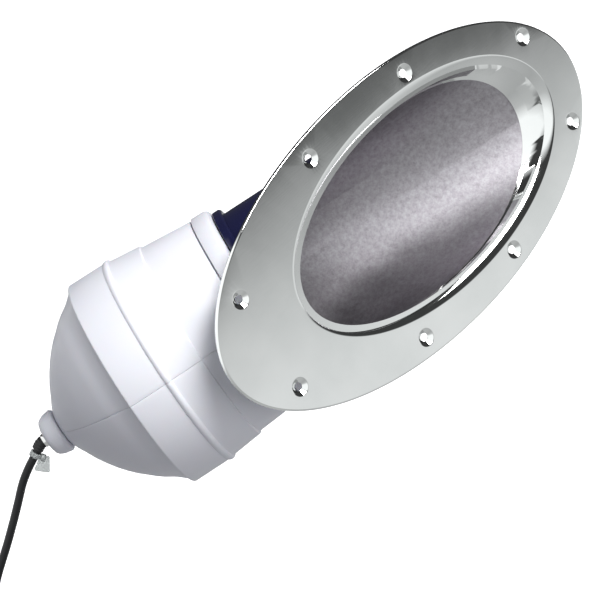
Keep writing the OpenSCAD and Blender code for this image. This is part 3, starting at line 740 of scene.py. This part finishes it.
glass = material("window_glass", (0.93, 0.98, 0.97), 0.015)
glass.node_tree.nodes["Principled BSDF"].inputs["Transmission Weight"].default_value = 1.0
glass.node_tree.nodes["Principled BSDF"].inputs["IOR"].default_value = 1.5
ramp(glass, noise(glass, 40, 3), [(0.4, 0.01), (0.8, 0.035)], "Roughness")
alloy = material("anodised_alloy", (0.62, 0.63, 0.65), 0.34, 1.0)
ramp(alloy, noise(alloy, 80, 4), [(0.3, 0.28), (0.7, 0.44)], "Roughness")
relief(alloy, noise(alloy, 700, 2), 0.15, 0.0001)

pane = turned(bmesh.new(), [
    (0, WINDOW_FRONT), (WINDOW_R, WINDOW_FRONT), (WINDOW_R, WINDOW_BACK), (0, WINDOW_BACK),
], 160, 0.8, closed=False)
settle("window_pane", put(pane, beam), glass, "housing", "window_glass", "window")

# ---------------------------------------------------------------------------- lamp
# A sealed-beam lamp: a pressed front glass with ribs inside that spread the beam, fused to a
# silvered bowl, with two screw terminals on its crown.
LAMP_R = 55.5
LAMP_FRONT = 195
LAMP_SEAT = 202
CROWN = 241

lens_glass = material("lamp_glass", (0.90, 0.95, 0.96), 0.06)
lens_glass.node_tree.nodes["Principled BSDF"].inputs["Transmission Weight"].default_value = 0.9
lens_glass.node_tree.nodes["Principled BSDF"].inputs["IOR"].default_value = 1.48
ramp(lens_glass, noise(lens_glass, 300, 3), [(0.3, 0.04), (0.7, 0.1)], "Roughness")
silvered = material("silvered_bowl", (0.86, 0.86, 0.86), 0.06, 1.0)
ramp(silvered, noise(silvered, 60, 3), [(0.3, 0.04), (0.7, 0.12)], "Roughness")
relief(silvered, noise(silvered, 120, 2), 0.2, 0.0003)

lens = turned(bmesh.new(), [
    (0, LAMP_FRONT), (LAMP_R - 3, LAMP_FRONT), (LAMP_R - 0.9, LAMP_FRONT + 0.5), (LAMP_R, LAMP_FRONT + 2),
    (LAMP_R, LAMP_SEAT), (LAMP_R - 6, LAMP_SEAT), (LAMP_R - 8, LAMP_FRONT + 4.3),
    *((radius, LAMP_FRONT + 4 - (0.7 if index % 2 else 0)) for index, radius in enumerate(range(46, 0, -2))),
    (0, LAMP_FRONT + 4),
], 128, 0, closed=False)
settle("lamp_lens", put(lens, beam), lens_glass, "housing", "lamp_glass", "lamp_front_glass", crease=60)
bowl = turned(bmesh.new(), [
    (LAMP_R - 6, LAMP_SEAT), (LAMP_R - 4.1, LAMP_SEAT), (LAMP_R - 4.5, LAMP_SEAT + 4),
    (LAMP_R - 8, LAMP_SEAT + 9.3), (LAMP_R - 12, LAMP_SEAT + 14), (LAMP_R - 17.6, LAMP_SEAT + 19.6),
    (LAMP_R - 24, LAMP_SEAT + 25), (LAMP_R - 30.4, LAMP_SEAT + 30.2), (LAMP_R - 37, CROWN - 4),
    (14, CROWN - 0.4), (0, CROWN), (0, CROWN - 2.4), (12, CROWN - 2.6), (LAMP_R - 38, CROWN - 7),
    (LAMP_R - 31.6, LAMP_SEAT + 27.6), (LAMP_R - 25.5, LAMP_SEAT + 22.5),
    (LAMP_R - 19.2, LAMP_SEAT + 17.6), (LAMP_R - 14, LAMP_SEAT + 12.5),
    (LAMP_R - 9.6, LAMP_SEAT + 7.2), (LAMP_R - 7, LAMP_SEAT + 3),
], 128, 0)
settle("lamp_bowl", put(bowl, beam), silvered, "housing", "mirror_coat", "lamp_reflector", crease=60)

# ---------------------------------------------------------------------------- inner pieces
# Seals, screws, pillars, nuts, springs, terminals and leads inside the sealed housing keep
# their CAD shapes and get the finish of what they are made of.
brass = material("bare_brass", (0.62, 0.44, 0.17), 0.3, 1.0)
ramp(brass, noise(brass, 70, 4), [(0.3, (0.50, 0.34, 0.12)), (0.7, (0.68, 0.50, 0.21))], "Base Color")
relief(brass, noise(brass, 600, 3), 0.15, 0.0001)
ivory = material("ivory_block", (0.80, 0.76, 0.62), 0.4)
ramp(ivory, noise(ivory, 50, 3), [(0.3, (0.76, 0.72, 0.57)), (0.7, (0.83, 0.79, 0.66))], "Base Color")
relief(ivory, noise(ivory, 700, 3), 0.15, 0.0001)
silicone = material("red_silicone", (0.36, 0.03, 0.025), 0.5)
ramp(
    silicone, noise(silicone, 90, 3), [(0.3, (0.30, 0.022, 0.02)), (0.7, (0.42, 0.045, 0.035))], "Base Color",
)
relief(silicone, noise(silicone, 900, 3), 0.2, 0.0001)
grey_rubber = material("grey_rubber", (0.09, 0.09, 0.095), 0.6)
ramp(grey_rubber, noise(grey_rubber, 90, 3), [(0.3, 0.5), (0.7, 0.7)], "Roughness")
relief(grey_rubber, noise(grey_rubber, 700, 3), 0.25, 0.0002)

KEPT = {
    rubber: ("compression_seal", "frame_oring", "window_gasket"),
    white: ("seam_dowels",),
    alloy: ("window_frame", "terminal_plate"),
    bright: (
        "retaining_ring", "retaining_screws", "pillars", "lamp_cradle", "cradle_springs", "cradle_nuts",
        "spacers", "plate_nuts",
    ),
    brass: ("lamp_terminals", "terminal_screws"),
    ivory: ("terminal_block",),
    silicone: ("lamp_leads",),
    jacket: ("inner_cable",),
    grey_rubber: ("cable_grommet",),
}
for look, names in KEPT.items():
    for name in names:
        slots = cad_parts[name].data.materials
        slots.clear()
        slots.append(look)

# ---------------------------------------------------------------------------- studio
# A wide pale floor below the hanging coil, and a pale room. The floor doesn't mirror in the
# steel, so that the room's tones shade it. A large lamp stands in front, high on the right.
FLOOR_DROP = 0.004
FLOOR_HALF = 14
AMBIENT = 0.29

floor_mesh = bmesh.new()
bmesh.ops.create_grid(floor_mesh, x_segments=4, y_segments=4, size=FLOOR_HALF)
bmesh.ops.translate(floor_mesh, vec=(0, 0, cad_box[0][2] - FLOOR_DROP), verts=floor_mesh.verts[:])
floor_data = bpy.data.meshes.new("studio_floor")
floor_mesh.to_mesh(floor_data)
floor_mesh.free()
floor = bpy.data.objects.new("studio_floor", floor_data)
bpy.context.scene.collection.objects.link(floor)
floor_look = material("floor_paper", (0.93, 0.93, 0.93), 0.9)
floor_shader = floor_look.node_tree.nodes["Principled BSDF"]
floor_shader.inputs["Specular IOR Level"].default_value = 0.0
floor_shader.inputs["Emission Color"].default_value = (1, 1, 1, 1)
floor_shader.inputs["Emission Strength"].default_value = 0.86
floor_data.materials.append(floor_look)
floor.visible_glossy = False
floor.visible_diffuse = False

world = bpy.data.worlds.new("studio")
bpy.context.scene.world = world
world.use_nodes = True
nodes = world.node_tree.nodes
links = world.node_tree.links
sky = nodes["Background"]
direction = nodes.new("ShaderNodeTexCoord")
parts = nodes.new("ShaderNodeSeparateXYZ")
links.new(direction.outputs["Generated"], parts.inputs[0])
height = nodes.new("ShaderNodeMapRange")
height.inputs["From Min"].default_value = -1
height.inputs["From Max"].default_value = 1
links.new(parts.outputs["Z"], height.inputs["Value"])


def card(tones):
    """The room's brightness from straight below (0) to straight above (1)."""
    shade = nodes.new("ShaderNodeValToRGB")
    while len(shade.color_ramp.elements) < len(tones):
        shade.color_ramp.elements.new(0.5)
    for element, (at, grey) in zip(shade.color_ramp.elements, tones):
        element.position = at
        element.color = (grey * 0.985, grey * 1.01, grey * 1.01, 1)
    links.new(height.outputs["Result"], shade.inputs["Fac"])
    return shade.outputs["Color"]


# The room is dark ahead and to the right, and bright to the left, past a leaning edge
right_half = card([
    (0.0, 0.72), (0.2, 0.85), (0.315, 0.99), (0.335, 0.78), (0.35, 0.52), (0.3575, 0.38), (0.364, 0.2),
    (0.4, 0.06), (1.0, 0.05),
])
left_half = card([(0.05, 0.6), (0.25, 0.52), (0.39, 0.66), (0.52, 1.35), (1.0, 1.4)])
leaning = nodes.new("ShaderNodeMath")
leaning.operation = "MULTIPLY_ADD"
leaning.inputs[1].default_value = 0.33
links.new(parts.outputs["Z"], leaning.inputs[0])
links.new(parts.outputs["X"], leaning.inputs[2])
side = nodes.new("ShaderNodeMapRange")
side.inputs["From Min"].default_value = 0.25
side.inputs["From Max"].default_value = 0.13
links.new(leaning.outputs["Value"], side.inputs["Value"])
room = nodes.new("ShaderNodeMix")
room.data_type = "RGBA"
links.new(side.outputs["Result"], room.inputs["Factor"])
links.new(right_half, room.inputs["A"])
links.new(left_half, room.inputs["B"])
paths = nodes.new("ShaderNodeLightPath")
mirrored = nodes.new("ShaderNodeMix")
mirrored.data_type = "RGBA"
links.new(paths.outputs["Is Glossy Ray"], mirrored.inputs["Factor"])
mirrored.inputs["A"].default_value = (AMBIENT, AMBIENT, AMBIENT * 1.06, 1)
links.new(room.outputs["Result"], mirrored.inputs["B"])
seen = nodes.new("ShaderNodeMix")
seen.data_type = "RGBA"
links.new(paths.outputs["Is Camera Ray"], seen.inputs["Factor"])
links.new(mirrored.outputs["Result"], seen.inputs["A"])
seen.inputs["B"].default_value = (1, 1, 1, 1)
links.new(seen.outputs["Result"], sky.inputs["Color"])
sky.inputs["Strength"].default_value = 1.0


def soft_light(name, place, size, power, target=(-0.1, 0.1, 0), colour=(1, 1, 1)):
    data = bpy.data.lights.new(name, "AREA")
    data.shape = "RECTANGLE"
    data.size, data.size_y = size
    data.energy = power
    data.color = colour
    light = bpy.data.objects.new(name, data)
    bpy.context.scene.collection.objects.link(light)
    aim = (Vector(target) - Vector(place)).to_track_quat("-Z", "Y").to_matrix().to_4x4()
    light.matrix_world = Matrix.Translation(place) @ aim
    return light


soft_light("key", (0.75, -1.7, 1.55), (1.5, 0.9), 76)
soft_light("top", (-0.6, 0.6, 2.0), (1.0, 1.0), 1.5)
fill_light = soft_light("fill", (0.1, -2.0, -0.12), (1.6, 0.2), 10)
fill_light.visible_glossy = False

bpy.context.scene.view_settings.view_transform = "Standard"
bpy.context.scene.view_settings.look = "None"
